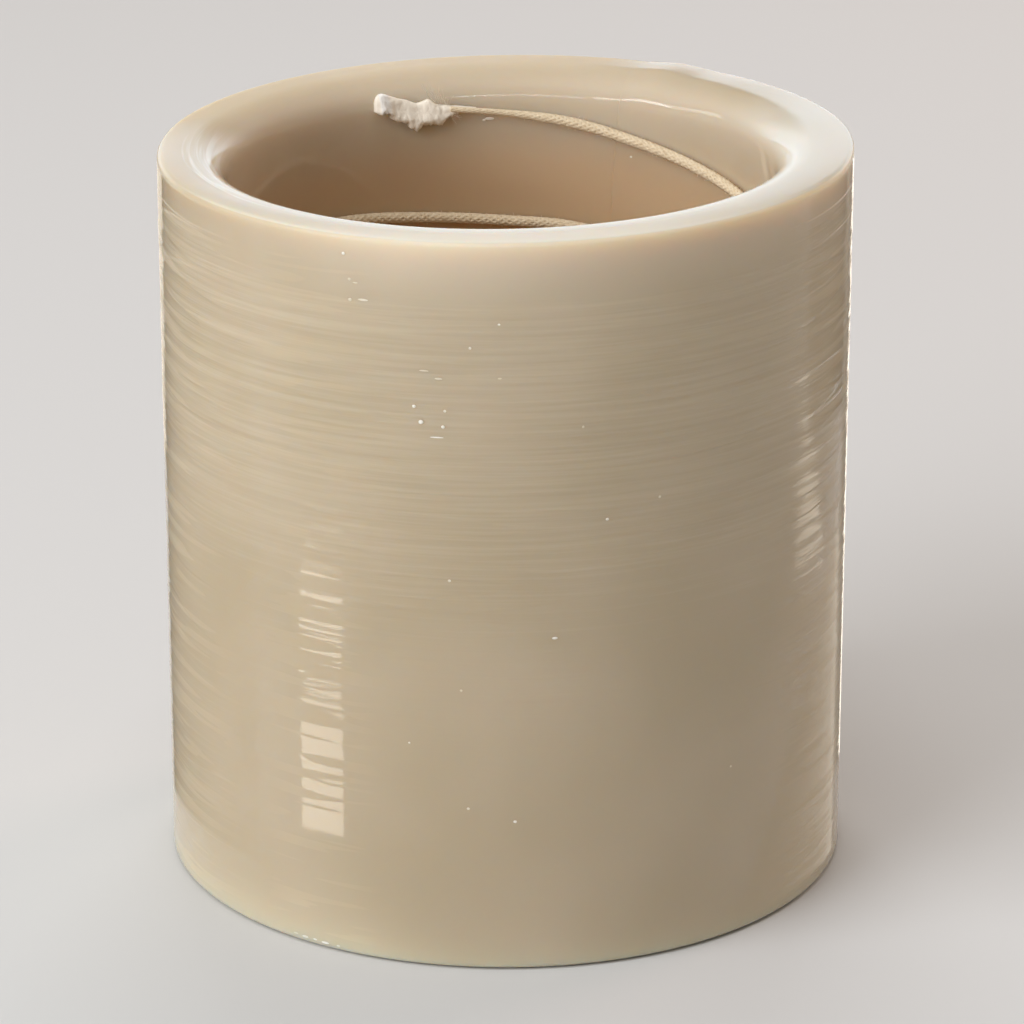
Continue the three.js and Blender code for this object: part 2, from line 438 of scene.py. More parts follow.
def polyurethane():
    """Translucent cast polyurethane rubber: glossy, with the fine rings of the form it was cast in.

    Light goes some millimetres in and comes back warm, so thin edges glow and the deep cavity browns; these
    glows, the browner cavity and a white highlight on the rim are painted into its colour as well."""
    material, add = new_material("cast_polyurethane_rubber")
    known = readings(
        "rings along inside wall wall_glow lip_glow land lip_top base_edge",
        lambda name: add("ShaderNodeAttribute", attribute_name=name).outputs["Fac"],
    )
    known.place = add("ShaderNodeTexCoord").outputs["Object"]
    known.fine, known.steps, known.bands, known.streak = ring_patterns(add, known)
    places_of_wear_and_painted_light(add, known)
    rings, relief = rubber_relief(add, known)
    roughness, gloss = rubber_shine(add, known)
    surface(add, {
        "Base Color": rubber_colour(add, known, rings),
        "Roughness": roughness,
        "IOR": 1.5,
        "Specular IOR Level": gloss,
        "Subsurface Weight": 1.0,
        "Subsurface Radius": (1.0, 0.72, 0.46),
        "Subsurface Scale": LIGHT_DEPTH,
        "Normal": add(BUMP, {"Height": relief, "Strength": 1.0, "Distance": RING_RELIEF}),
    })
    return material


# Lumps of yarn and wax, and how far they stand up
YARN_LUMPS = 0.5 * MM
YARN_RELIEF = 0.05 * MM
WAX_LUMPS = 0.35 * MM
WAX_RELIEF = 0.15 * MM


def lumpy(add, size):
    """A pattern of lumps that are about so large."""
    place = add("ShaderNodeTexCoord").outputs["Object"]
    return add(NOISE, {"Vector": place, "Scale": 1 / size, "Detail": 3.0, "Roughness": 0.6})


def waxed_cotton():
    """Braided cotton drawn through wax: cream, its threads half drowned in a dull waxy coat."""
    material, add = new_material("waxed_cotton_braid")
    lumps = lumpy(add, YARN_LUMPS)
    pale = add(RANGE, lumps, 0.3, 0.7)
    surface(add, {
        "Base Color": add(MIX, {"Factor": pale, "A": linear("#E3CFAD"), "B": linear("#F1E2C7")}),
        "Roughness": 0.7,
        "Normal": add(BUMP, {"Height": lumps, "Strength": 0.5, "Distance": YARN_RELIEF}),
    })
    return material


def frayed_wax():
    """Frayed cotton soaked with white wax: pale, whitest where it is thick, lumpy, with a dull shine."""
    material, add = new_material("wax_soaked_cotton")
    thick = add("ShaderNodeAttribute", attribute_name="thick").outputs["Fac"]
    lumps = lumpy(add, WAX_LUMPS)
    surface(add, {
        "Base Color": add(MIX, {"Factor": thick, "A": linear("#FFF7E8"), "B": linear("#FFFEFA")}),
        "Roughness": 0.55,
        "Specular IOR Level": 0.25,
        "Normal": add(BUMP, {"Height": lumps, "Strength": 0.6, "Distance": WAX_RELIEF}),
    })
    return material


# Whiter and duller bubbles come by turns about this far apart
BUBBLE_MIX = 6.7 * MM


def trapped_air():
    """Pinhead bubbles in the skin of the casting: white, because the air in them sends light back."""
    material, add = new_material("trapped_air_bubbles")
    place = add("ShaderNodeTexCoord").outputs["Object"]
    mixed = add(RANGE, add(NOISE, {"Vector": place, "Scale": 1 / BUBBLE_MIX}), 0.4, 0.6)
    tone = add(MIX, {"Factor": mixed, "A": linear("#E2D8C2"), "B": linear("#FBF8EF")})
    surface(add, {"Base Color": tone, "Roughness": 0.15, "IOR": 1.5})
    return material


# The casting is its outline turned about the axis: how many columns round it, how many of them close
# together at the slit, and how far apart its rows are
COLUMNS = 176
SLIT_COLUMNS = 5
BASE_ROW = 3 * MM
OUTER_ROW = 0.28 * MM
LAND_ROW = 0.4 * MM
CAVITY_ROW = 1.4 * MM
HOLE_ROW = 2 * MM
EDGE_STEPS = 6
LIP_STEPS = 18
FLOOR_STEPS = 8
FLAT_CORNER = math.radians(32)

# The flat land of the rim falls away outwards from its crest, in a curve of this radius, to the rim's edge
RIM_CREST = 44.2 * MM
RIM_CROWN = 30 * MM
RIM_EDGE_END = 82

# The knife's wander: cosines of the angle from the slit between which it grows, and the radius inside
# which it grows no wider
NEAR_SLIT = (0.7, 1.0)
WANDER_RADIUS = 12 * MM

# The rim's step past the slit: where it grows and fades, how steeply it dies away below the rim, its height
STEP_GROWS = (0.0, math.radians(5.5), 0.3)
STEP_FADES = (math.radians(14.5), math.radians(5.5))
STEP_POWER = 14.0
RIM_STEP = 0.38 * MM

# Rings and slow waves in the wall itself: how many round it, how far apart, how rough
RIPPLES = {"Coarse Rings": (2.2, 2 * MM, 1.0), "Waves": (1.4, 11 * MM, 0.0)}
COARSE_RINGS = 0.22 * MM
WAVES = 0.08 * MM

# Heights between which the rings come up, where they end below the rim and over how much height they fade,
# how strong they are on the rim, and over how many rows to either side of the lip's end they fade
RINGS_FROM = 8 * MM
RINGS_FULL = 80 * MM
RINGS_TO = 99 * MM
RINGS_FADE = 6 * MM
RINGS_ON_RIM = 0.12
RINGS_FADE_ROWS = 4

# How far the painted light reaches down the wall, down the lip and up from the base, and how strong the
# painted glow at the base is
GLOW_REACH = 6 * MM
BASE_BRIGHT = 0.68

# How deep the groove is off the outer wall, as a share, and how many rows of the rim's edge count as land
SLIT_INSIDE = 0.2
EDGE_ROWS = 3


def arc(centre_r, centre_z, radius, start, end, count):
    """Points of an arc of the outline, without its first one."""
    turns = [math.radians(start + (end - start) * i / count) for i in range(1, count + 1)]
    return [(centre_r + radius * math.cos(t), centre_z + radius * math.sin(t)) for t in turns]


def run(start, end, step):
    """Points of a straight stretch of the outline, without its first one."""
    count = max(1, round(math.dist(start, end) / step))
    return [
        (start[0] + (end[0] - start[0]) * i / count, start[1] + (end[1] - start[1]) * i / count)
        for i in range(1, count + 1)
    ]


def outline():
    """(radius, height) all round the section of the wall and base, with where its land and cavity begin."""
    lip_centre = CAVITY_RADIUS + LIP_RADIUS
    points = [(WICK_HOLE_RADIUS, 0)]
    points += run(points[-1], (OUTER_RADIUS - BASE_EDGE, 0), BASE_ROW)
    points += arc(OUTER_RADIUS - BASE_EDGE, BASE_EDGE, BASE_EDGE, -90, 0, EDGE_STEPS)
    end = math.radians(RIM_EDGE_END)
    land_starts = OUTER_RADIUS - RIM_EDGE * (1 - math.cos(end))
    edge_height = HEIGHT - (land_starts - RIM_CREST) ** 2 / (2 * RIM_CROWN) - RIM_EDGE * math.sin(end)
    points += run(points[-1], (OUTER_RADIUS, edge_height), OUTER_ROW)
    points += arc(OUTER_RADIUS - RIM_EDGE, edge_height, RIM_EDGE, 0, RIM_EDGE_END, EDGE_STEPS)
    land_begins = len(points)
    for radius, _ in run(points[-1], (lip_centre, HEIGHT), LAND_ROW):
        outward = max(0, radius - RIM_CREST)
        points.append((radius, HEIGHT - outward ** 2 / (2 * RIM_CROWN)))
    cavity_begins = len(points)
    points += arc(lip_centre, HEIGHT - LIP_RADIUS, LIP_RADIUS, 90, 180, LIP_STEPS)
    corner_height = FLOOR_HEIGHT + FLOOR_CORNER
    points += run(points[-1], (CAVITY_RADIUS, corner_height), CAVITY_ROW)
    points += arc(CAVITY_RADIUS - FLOOR_CORNER, corner_height, FLOOR_CORNER, 0, -90, FLOOR_STEPS)
    points += run(points[-1], (WICK_HOLE_RADIUS, FLOOR_HEIGHT), BASE_ROW)
    points += run(points[-1], (WICK_HOLE_RADIUS, 0), HOLE_ROW)[:-1]
    return points, land_begins, cavity_begins


def fade(value, low, high):
    """Smoothly from 0 at the low value to 1 at the high one."""
    share = min(1, max(0, (value - low) / (high - low)))
    return share * share * (3 - 2 * share)


def outline_values(points, land_begins, cavity_begins):
    """What the tree and the rubber have to know of each point of the outline, as lists by name."""
    lip_ends = cavity_begins + LIP_STEPS
    values = {}
    along = 0
    for i, (radius, height) in enumerate(points):
        before = points[i - 1]
        after = points[(i + 1) % len(points)]
        along += math.dist(before, (radius, height)) if i else 0
        way = Vector((after[0] - before[0], after[1] - before[1])).normalized()
        depth = HEIGHT - height
        outside = i < land_begins
        on_wall = outside and radius > CAVITY_RADIUS
        on_land = land_begins - EDGE_ROWS <= i < cavity_begins
        on_crown = on_land and radius > RIM_CREST
        inward = (i - land_begins) / (cavity_begins - land_begins)
        wall_rings = fade(height, RINGS_FROM, RINGS_FULL) * fade(height, RINGS_TO, RINGS_TO - RINGS_FADE)
        lip_rings = RINGS_ON_RIM * fade(i, lip_ends + RINGS_FADE_ROWS, lip_ends - RINGS_FADE_ROWS)
        lip_glow = fade(depth, 0, LIP_RADIUS / 2) * math.exp(-max(0, depth - LIP_RADIUS) / GLOW_REACH)
        lip_top = fade(depth, 0.9 * LIP_RADIUS, 0.4 * LIP_RADIUS) * fade(radius, RIM_CREST + MM, RIM_CREST)
        here = {
            "reach": radius,
            "height": height,
            "shift": CAVITY_OFFSET * (1 - radius / OUTER_RADIUS if outside else min(1, inward)),
            "rings": wall_rings if outside else lip_rings,
            "along": along,
            "out_r": way.y,
            "out_z": -way.x,
            "slit": 1 if outside and not on_land else SLIT_INSIDE,
            # How deep in the cavity a point is: the rubber is painted browner there, as painted shade
            "inside": 0 if outside else fade(depth, LIP_RADIUS, 3 * LIP_RADIUS),
            "wall": 1 if on_wall and height < RINGS_TO else 0,
            # wall_glow, lip_glow and base_edge say where the rubber is painted paler for light
            "wall_glow": math.exp(-depth / GLOW_REACH) if on_wall and not on_land else 0,
            "lip_glow": 0 if outside or on_land else lip_glow,
            "land": 1 if on_crown else 0,
            "lip_top": 0 if outside or on_crown else lip_top,
            "base_edge": BASE_BRIGHT * math.exp(-height / GLOW_REACH) if on_wall else 0,
        }
        for name, value in here.items():
            values.setdefault(name, []).append(value)
    return values


def turned_section(add, size, lip):
    """The outline swept round: some columns close together at the slit, the others evenly spaced."""
    last = SLIT_COLUMNS - 1.0
    number = add("GeometryNodeInputIndex")
    close = add(SUBTRACT, add(MINIMUM, number, last), last / 2)
    beyond = add(MAXIMUM, add(SUBTRACT, number, last), 0.0)
    others = add(DIVIDE, math.tau, add(SUBTRACT, size["Columns"], last))
    turn = add(MULTIPLY_ADD, close, lip, size["Slit Azimuth"])
    turn = add(MULTIPLY_ADD, beyond, others, turn)
    path = add(CIRCLE, {"Resolution": size["Columns"], "Radius": 1.0})
    turned = add("GeometryNodeStoreNamedAttribute", {"Geometry": path, "Name": "turn", "Value": turn})
    section = add(MESH_TO_CURVE, size["Geometry"])
    return add(CURVE_TO_MESH, {"Curve": turned, "Profile Curve": section})


def wandering_angle(add, size, known, past_slit):
    """The angle of each point about the axis, which sways near the slit as the knife did coming down."""
    near_slit = add(SMOOTH, add(COSINE, past_slit), *NEAR_SLIT)
    wave = add(MULTIPLY, add(DIVIDE, known.height, size["Wander Length"]), math.tau)
    sideways = add(MULTIPLY, add(SINE, wave), size["Slit Wander"])
    swing = add(DIVIDE, sideways, add(MAXIMUM, known.reach, WANDER_RADIUS))
    return add(MULTIPLY_ADD, swing, near_slit, known.turn)


def rim_step(add, share, past_slit, lip):
    """The share of the rim's step by which a point stands up past the slit."""
    jump = add(MULTIPLY_ADD, add(DIVIDE, past_slit, lip), 0.5, 0.5, use_clamp=True)
    rise = add(SMOOTH, past_slit, *STEP_GROWS)
    fall = add(SMOOTH, past_slit, *STEP_FADES)
    stands = add(MULTIPLY, add(MULTIPLY, rise, fall), jump)
    return add(MULTIPLY, stands, add(POWER, share, STEP_POWER))


def slit_groove(add, size, known, past_slit, lip):
    """The depth of the hairline groove that the closed slit makes."""
    side = add(DIVIDE, add(ABSOLUTE, past_slit), lip)
    groove = add(SUBTRACT, 1.0, side, use_clamp=True)
    groove = add(MULTIPLY, groove, size["Slit Depth"])
    return add(MULTIPLY, groove, known.slit)


def wall_ripples(add, size, known, outward):
    """How far the rings and the slow waves push each point out."""
    push = 0.0
    for name, (reach, spacing, detail) in RIPPLES.items():
        around = add(VECTOR_SCALE, {0: outward, "Scale": reach})
        ripple = round_pattern(add, around, known.along, spacing, {
            "W": size["Seed"], "Detail": detail, "Roughness": 0.4,
        }, noise_dimensions="4D")
        push = add(MULTIPLY_ADD, add(SUBTRACT, ripple, 0.5), size[name], push)
    return add(MULTIPLY, push, known.rings)


def casting_tree(material):
    """The outline turned about Z, its centre moved for the cavity, the rim tipped, rings raised."""
    tree, add, size = new_tree("turned_casting", {
        "Columns": COLUMNS,
        "Slit Azimuth": SLIT_AZIMUTH,
        "Slit Lip": SLIT_LIP,
        "Slit Depth": SLIT_DEPTH,
        "Slit Wander": SLIT_WANDER,
        "Wander Length": SLIT_WANDER_LENGTH,
        "Slit Step": RIM_STEP,
        "Height": HEIGHT,
        "Outer Radius": OUTER_RADIUS,
        "Rim Slope": RIM_SLOPE,
        "Coarse Rings": COARSE_RINGS,
        "Waves": WAVES,
        "Seed": 3,
    })
    known = readings(
        "turn reach height shift rings along out_r out_z slit",
        lambda name: add("GeometryNodeInputNamedAttribute", name),
    )
    lip = add(DIVIDE, size["Slit Lip"], size["Outer Radius"])
    swept = turned_section(add, size, lip)
    past_slit = add(SUBTRACT, known.turn, size["Slit Azimuth"])

    # Round the axis, which moves over towards the cavity's own
    angle = wandering_angle(add, size, known, past_slit)
    sine = add(SINE, angle)
    cosine = add(COSINE, angle)
    outward = add(COMBINE, {"X": sine, "Y": cosine})
    across = add(MULTIPLY_ADD, known.reach, sine, known.shift)
    deep = add(MULTIPLY, known.reach, cosine)

    # The rim is out of level, and steps up where the slit reaches it
    share = add(DIVIDE, known.height, size["Height"])
    slope = add(MULTIPLY, across, size["Rim Slope"])
    tipped = add(MULTIPLY_ADD, slope, share, known.height)
    step = rim_step(add, share, past_slit, lip)
    height = add(MULTIPLY_ADD, step, size["Slit Step"], tipped)
    point = add(COMBINE, {"X": across, "Y": deep, "Z": height})

    # Rings and waves stand out square to the skin, and the groove goes in
    facing = add(VECTOR_SCALE, {0: outward, "Scale": known.out_r})
    facing = add(VECTOR_ADD, facing, add(COMBINE, {"Z": known.out_z}))
    push = wall_ripples(add, size, known, outward)
    push = add(SUBTRACT, push, slit_groove(add, size, known, past_slit, lip))
    offset = add(VECTOR_SCALE, {0: facing, "Scale": push})
    shaped = add("GeometryNodeSetPosition", {"Geometry": swept, "Position": point, "Offset": offset})
    end_tree(add, shaped, material, smooth=True)
    return tree


def make_casting(material):
    points, land_begins, cavity_begins = outline()
    values = outline_values(points, land_begins, cavity_begins)
    flat = [(radius, height, 0) for radius, height in points]
    section = mesh_object("section", flat, chain(len(points), closed=True), values=values)
    piece = grown(section, "mold_casting", casting_tree(material))
    shape = bmesh.new()
    shape.from_mesh(piece.data)
    bmesh.ops.recalc_face_normals(shape, faces=shape.faces)
    shape.to_mesh(piece.data)
    shape.free()
    piece.data.set_sharp_from_angle(angle=FLAT_CORNER)
    return piece


# The wick's braid, and the hairs that stand out of it, drawn in units of their own length
STRANDS = 12
STRAND_SIDES = 5
BRAID_STEP = 0.42 * MM
HAIRS = 4000
HAIR_BEND = {"Resolution": 4, "Start": (0, 0, 0), "Middle": (0.1, 0, 0.6), "End": (0.55, 0, 0.9)}
HAIR_ROUND = {"Resolution": 3, "Radius": 0.03}

# The free end is drawn thin: its thickness falls to this share between these shares of the wick's length
DRAWN_THIN = (0.966, 0.99, 1.0, 0.55)


def braid_tree(material):
    """Strands wound both ways round the centreline, each passing over and under the others."""
    tree, add, size = new_tree("braided_wick", {
        "Strands": STRANDS,
        "Pitch": 7 * MM,
        "Middle Radius": 0.53 * MM,
        "Weave Depth": 0.025 * MM,
        "Strand Radius": 0.27 * MM,
    })
    line = add(MESH_TO_CURVE, size["Geometry"])
    copies = add(
        "GeometryNodeDuplicateElements", {"Geometry": line, "Amount": size["Strands"]}, domain="SPLINE",
    )
    number = copies.outputs["Duplicate Index"]
    along = add("GeometryNodeSplineParameter")

    # Every other strand winds the other way, and all of them weave in and out as they cross
    wound = add(DIVIDE, along.outputs["Length"], size["Pitch"])
    odd = add(MODULO, number, 2.0)
    way = add(MULTIPLY_ADD, odd, 2.0, -1.0)
    turns = add(MULTIPLY_ADD, wound, way, add(DIVIDE, number, size["Strands"]))
    angle = add(MULTIPLY, turns, math.tau)
    crossings = add(MULTIPLY, wound, math.tau * STRANDS / 2)
    weave = add(SINE, add(MULTIPLY_ADD, odd, math.pi, crossings))
    reach = add(MULTIPLY_ADD, weave, size["Weave Depth"], size["Middle Radius"])
    drawn = add(SMOOTH, along.outputs["Factor"], *DRAWN_THIN)
    reach = add(MULTIPLY, reach, drawn)

    # Out from the centreline at that angle
    normal = add("GeometryNodeInputNormal").outputs["Normal"]
    side = add(CROSS_PRODUCT, add("GeometryNodeInputTangent"), normal)
    out_one = add(VECTOR_SCALE, {0: normal, "Scale": add(COSINE, angle)})
    out_two = add(VECTOR_SCALE, {0: side, "Scale": add(SINE, angle)})
    out = add(VECTOR_ADD, out_one, out_two)
    offset = add(VECTOR_SCALE, {0: out, "Scale": reach})
    wavy = add("GeometryNodeSetPosition", {"Geometry": copies, "Offset": offset})
    thread = add(CIRCLE, {"Resolution": STRAND_SIDES, "Radius": size["Strand Radius"]})
    tubes = add(CURVE_TO_MESH, {"Curve": wavy, "Profile Curve": thread, "Scale": drawn, "Fill Caps": True})
    end_tree(add, tubes, material, smooth=True)
    return tree


def fuzz_tree(material):
    """Short bent hairs that start in the middle of the wick and end a little outside it."""
    tree, add, size = new_tree("wick_hairs", {
        "Hairs": HAIRS,
        "Shortest": 0.9 * MM,
        "Longest": 1.15 * MM,
        "Seed": 11,
    })
    line = add(MESH_TO_CURVE, size["Geometry"])
    places = add("GeometryNodeCurveToPoints", {"Curve": line, "Count": size["Hairs"]}, mode="COUNT")
    bend = add("GeometryNodeCurveQuadraticBezier", HAIR_BEND)
    round_hair = add(CIRCLE, HAIR_ROUND)
    hair = add(CURVE_TO_MESH, {"Curve": bend, "Profile Curve": round_hair, "Fill Caps": True})
    way = add("FunctionNodeRandomValue", {
        "Max": (math.tau, math.tau, math.tau), "Seed": size["Seed"],
    }, data_type="FLOAT_VECTOR")
    # The second pair of limits is the one for plain numbers
    length = add("FunctionNodeRandomValue", {2: size["Shortest"], 3: size["Longest"], "Seed": size["Seed"]})
    share = add(DIVIDE, add("GeometryNodeInputIndex"), size["Hairs"])
    length = add(MULTIPLY, length, add(SMOOTH, share, *DRAWN_THIN))
    hairs = add(ON_POINTS, {"Points": places, "Instance": hair, "Rotation": way, "Scale": length})
    end_tree(add, hairs, material)
    return tree


def make_wick(material):
    path = smooth_line(wick_route(), BRAID_STEP)
    edges = chain(len(path))
    braid = grown(mesh_object("wick_centreline", path, edges), "wick_braid", braid_tree(material))
    fuzz = grown(mesh_object("wick_centreline", path, edges), "wick_fuzz", fuzz_tree(material))
    return braid, fuzz, path


# The frayed end: azimuth in degrees, depths of the upper and lower edge and thickness in mm
TUFT_FLAKE = [
    (-29.2, 3.6, 4.9, 0.6), (-28.9, 2.8, 5.2, 2.0), (-28.2, 2.4, 5.4, 2.7), (-27.4, 2.3, 5.2, 2.9),
    (-26.4, 2.5, 5.1, 2.7), (-25.8, 2.7, 5.6, 2.2), (-25.0, 2.9, 6.2, 2.0), (-23.5, 3.3, 6.7, 1.8),
    (-21.3, 3.7, 7.2, 1.8), (-20.7, 3.9, 8.0, 1.7), (-19.1, 4.3, 8.3, 1.7), (-17.8, 4.1, 7.7, 1.8),
    (-16.6, 3.8, 7.6, 2.0), (-15.8, 4.0, 7.6, 2.0), (-14.7, 4.6, 7.6, 1.8), (-13.4, 4.8, 7.5, 1.7),
    (-12.6, 4.8, 7.2, 1.6), (-11.8, 4.9, 6.6, 1.5), (-11.2, 5.0, 6.3, 1.4), (-10.1, 5.0, 6.1, 1.3),
    (-8.0, 5.2, 6.1, 1.1), (-5.6, 5.4, 6.0, 0.8),
]
TUFT_COLUMNS = 90
TUFT_ROWS = 28

# How its lower edge strays: waves to a degree, their place in the noise, how closely they keep to the edge
TUFT_STRAYS = [(0.9, 3.7, 2), (2.2, 9.1, 6)]
TUFT_RAGGED = 0.35

# Its lumps to a degree and to a mm, how much they swell it, how full it is without them
TUFT_LUMPS_ALONG = 0.5
TUFT_LUMPS_DOWN = 0.9
TUFT_LUMPS = 0.09
TUFT_FULL = 0.9

# Over how many degrees its thickness is evened out, how far it is off the wall and its back bulges in mm
TUFT_SOFTENED = 0.7
TUFT_WALL_GAP = 0.15
TUFT_BACK = 0.1

# Its face leans back: depths in mm between which it comes to stand out, the share by which it does so at its
# top, what is added below, how blunt it is. It whitens where it is thicker than the last, in mm
TUFT_LEAN = (1.6, 6.6)
TUFT_AT_TOP = 0.15
TUFT_BELOW = 0.9
TUFT_BLUNT = 0.4
TUFT_WHITE_FROM = 2.1


def between(rows, place):
    """The row of numbers at a place along a list of rows, by its first number."""
    for low, high in zip(rows, rows[1:]):
        if place <= high[0]:
            share = (place - low[0]) / (high[0] - low[0])
            return [part_way(a, b, share) for a, b in zip(low, high)]
    return rows[-1]


def tuft_loop(azimuth):
    """The points of one loop round the flake, and how white it is there."""
    _, top, bottom, thickness = between(TUFT_FLAKE, azimuth)
    for aside in (-TUFT_SOFTENED, TUFT_SOFTENED):
        thickness += between(TUFT_FLAKE, max(TUFT_FLAKE[0][0], azimuth + aside))[3]
    thickness /= 3
    strays = [(noise.noise(Vector((azimuth * often, place, 0))), keep) for often, place, keep in TUFT_STRAYS]
    lean_from, lean_to = TUFT_LEAN
    loop = []
    for j in range(TUFT_ROWS):
        turn = math.tau * j / TUFT_ROWS
        low = (1 - math.cos(turn)) / 2
        stray = TUFT_RAGGED * sum(wave * low ** keep for wave, keep in strays)
        depth = part_way(top, bottom, low) + stray
        lump = noise.fractal(Vector((azimuth * TUFT_LUMPS_ALONG, depth * TUFT_LUMPS_DOWN, 5.5)), 0.8, 2, 3)
        lean = min(1, max(0, (depth - lean_from) / (lean_to - lean_from)))
        bulge = (TUFT_AT_TOP + TUFT_BELOW * lean) * abs(math.sin(turn)) ** TUFT_BLUNT
        plump = thickness * (TUFT_FULL + TUFT_LUMPS * thickness * lump) * bulge
        stands = plump if math.sin(turn) > 0 else TUFT_BACK * abs(math.sin(turn))
        reach = CAVITY_RADIUS / MM - TUFT_WALL_GAP - stands
        loop.append(polar(azimuth, reach * MM, HEIGHT - depth * MM))
    return loop, min(1, max(0, 2 * (thickness - TUFT_WHITE_FROM)))


def make_tuft(material):
    """A ragged flake of wax and matted cotton against the wall, with a thick white knob at its end."""
    first = TUFT_FLAKE[0][0]
    last = TUFT_FLAKE[-1][0]
    shape = bmesh.new()
    thick = shape.verts.layers.float.new("thick")
    rings = []
    for i in range(TUFT_COLUMNS + 1):
        loop, white = tuft_loop(first + (last - first) * i / TUFT_COLUMNS)
        ring = [shape.verts.new(point) for point in loop]
        for vert in ring:
            vert[thick] = white
        rings.append(ring)
    for one, two in zip(rings, rings[1:]):
        for j in range(TUFT_ROWS):
            k = (j + 1) % TUFT_ROWS
            shape.faces.new((one[j], one[k], two[k], two[j]))
    shape.faces.new(rings[0])
    shape.faces.new(reversed(rings[-1]))
    bmesh.ops.recalc_face_normals(shape, faces=shape.faces)
    for face in shape.faces:
        face.smooth = len(face.verts) == 4
    mesh = bpy.data.meshes.new("frayed_end")
    shape.to_mesh(mesh)
    shape.free()
    mesh.materials.append(material)
    return placed("frayed_end", mesh)


# Locks of loose fibres: azimuth in degrees and depth in mm of the root and of the tip, how far it stands off
TUFT_WISPS = [
    (-14.6, 4.4, -17.0, 2.0, 1.4), (-14.0, 4.5, -15.8, 2.2, 1.4), (-13.2, 4.7, -14.4, 2.8, 1.3),
    (-12.2, 5.0, -12.6, 3.8, 1.2), (-11.4, 6.2, -9.8, 6.8, 1.0),
]
WISP_COPIES = 11
WISP_POINTS = 9
WISP_SPREAD = 0.45
WISP_BOW = 0.5
WISP_NEAREST = 0.25
WISP_RADIUS = 0.013 * MM
WISP_SIDES = 4
WISP_SEED = 5


def wisp_line(chance, azimuth, depth, tip_azimuth, tip_depth, stand):
    """One bowed fibre that strays a little from its lock."""
    stray = [chance.gauss(0, WISP_SPREAD) for _ in range(5)]
    bow = chance.uniform(-WISP_BOW, WISP_BOW)
    line = []
    for i in range(WISP_POINTS):
        t = i / (WISP_POINTS - 1)
        turn = part_way(azimuth, tip_azimuth, t) + stray[0] * (0.6 + t) + bow * math.sin(t * math.pi)
        down = part_way(depth, tip_depth, t) + stray[1] * (0.4 + t) * 0.6 + bow * 0.4 * t * t
        off = 0.5 + (stand - 0.4) * math.sin(t * math.pi / 2) + stray[2] * t * 0.8
        line.append(polar(turn, CAVITY_RADIUS - max(WISP_NEAREST, off) * MM, HEIGHT - down * MM))
    return line


def make_wisps(material):
    """Fine cotton fibres that stand out of the frayed end in loose locks."""
    chance = random.Random(WISP_SEED)
    points = []
    edges = []
    for lock in TUFT_WISPS:
        for _ in range(WISP_COPIES):
            edges += [(len(points) + a, len(points) + b) for a, b in chain(WISP_POINTS)]
            points += wisp_line(chance, *lock)
    tree, add, size = new_tree("cotton_fibres", {"Fibre Radius": WISP_RADIUS})
    line = add(MESH_TO_CURVE, size["Geometry"])
    fibre = add(CIRCLE, {"Resolution": WISP_SIDES, "Radius": size["Fibre Radius"]})
    tubes = add(CURVE_TO_MESH, {"Curve": line, "Profile Curve": fibre, "Fill Caps": True})
    end_tree(add, tubes, material)
    return grown(mesh_object("wisps", points, edges), "frayed_fibres", tree)


# Specks in the skin: azimuth from the front towards the right in degrees, height, length and width in mm
SPECKS_IN_FRONT = [
    (-26, 100.4, 0.5, 0.45), (-25, 97, 0.5, 0.4), (-24, 96.6, 0.8, 0.25), (-24.9, 94.2, 0.6, 0.5),
    (-22.7, 94.4, 1.5, 0.35), (-12.8, 85.5, 1.3, 0.25), (-10.5, 84.5, 1.1, 0.35), (-5.5, 88.9, 0.4, 0.4),
    (-14.4, 80.5, 0.5, 0.5), (-9.5, 80.1, 0.4, 0.4), (-13.3, 78.4, 0.7, 0.6), (-9.8, 77.9, 0.5, 0.5),
    (-10.8, 76.4, 1.9, 0.2), (-0.9, 84.8, 0.6, 0.3), (-1, 92.2, 0.4, 0.3), (12.2, 77.8, 0.45, 0.45),
    (16.2, 64.6, 0.5, 0.4), (25.1, 66.8, 0.4, 0.4), (-8.9, 56.4, 0.45, 0.4), (7.8, 48.3, 0.8, 0.4),
    (-7.1, 40.8, 0.4, 0.35), (-15.6, 32.7, 0.35, 0.3), (-6, 23.7, 0.45, 0.4), (1.5, 21.9, 0.5, 0.4),
    (39.7, 25.3, 0.4, 0.35), (-37, 1, 0.9, 0.3), (-35, 0.9, 1.1, 0.4), (-33, 0.9, 0.7, 0.3),
    (-31, 0.8, 1.3, 0.35), (-28.5, 0.8, 0.6, 0.3),
]

# Crumbs of old wax on the inner wall, in the same terms
CRUMBS_INSIDE = [(182.6, 96.2, 1.5, 0.5), (183.8, 96, 0.5, 0.4), (150.3, 91.8, 0.4, 0.35)]

# Specks out of the camera's sight: how many, the share that is round, their azimuths and heights
SPECKS_ELSEWHERE = 70
SPECKS_ROUND = 0.7
SPECKS_BEHIND = (95, 265)
SPECK_HEIGHTS = (20, 98)
SPECK_SEED = 21


def more_specks():
    """Specks all over the back, more of them near the rim."""
    chance = random.Random(SPECK_SEED)
    rows = []
    for _ in range(SPECKS_ELSEWHERE):
        azimuth = chance.uniform(*SPECKS_BEHIND)
        height = part_way(*SPECK_HEIGHTS, chance.random() ** 0.7)
        width = chance.uniform(0.25, 0.45)
        length = width if chance.random() < SPECKS_ROUND else width * chance.uniform(2, 4)
        rows.append((azimuth, height, length, width))
    return rows


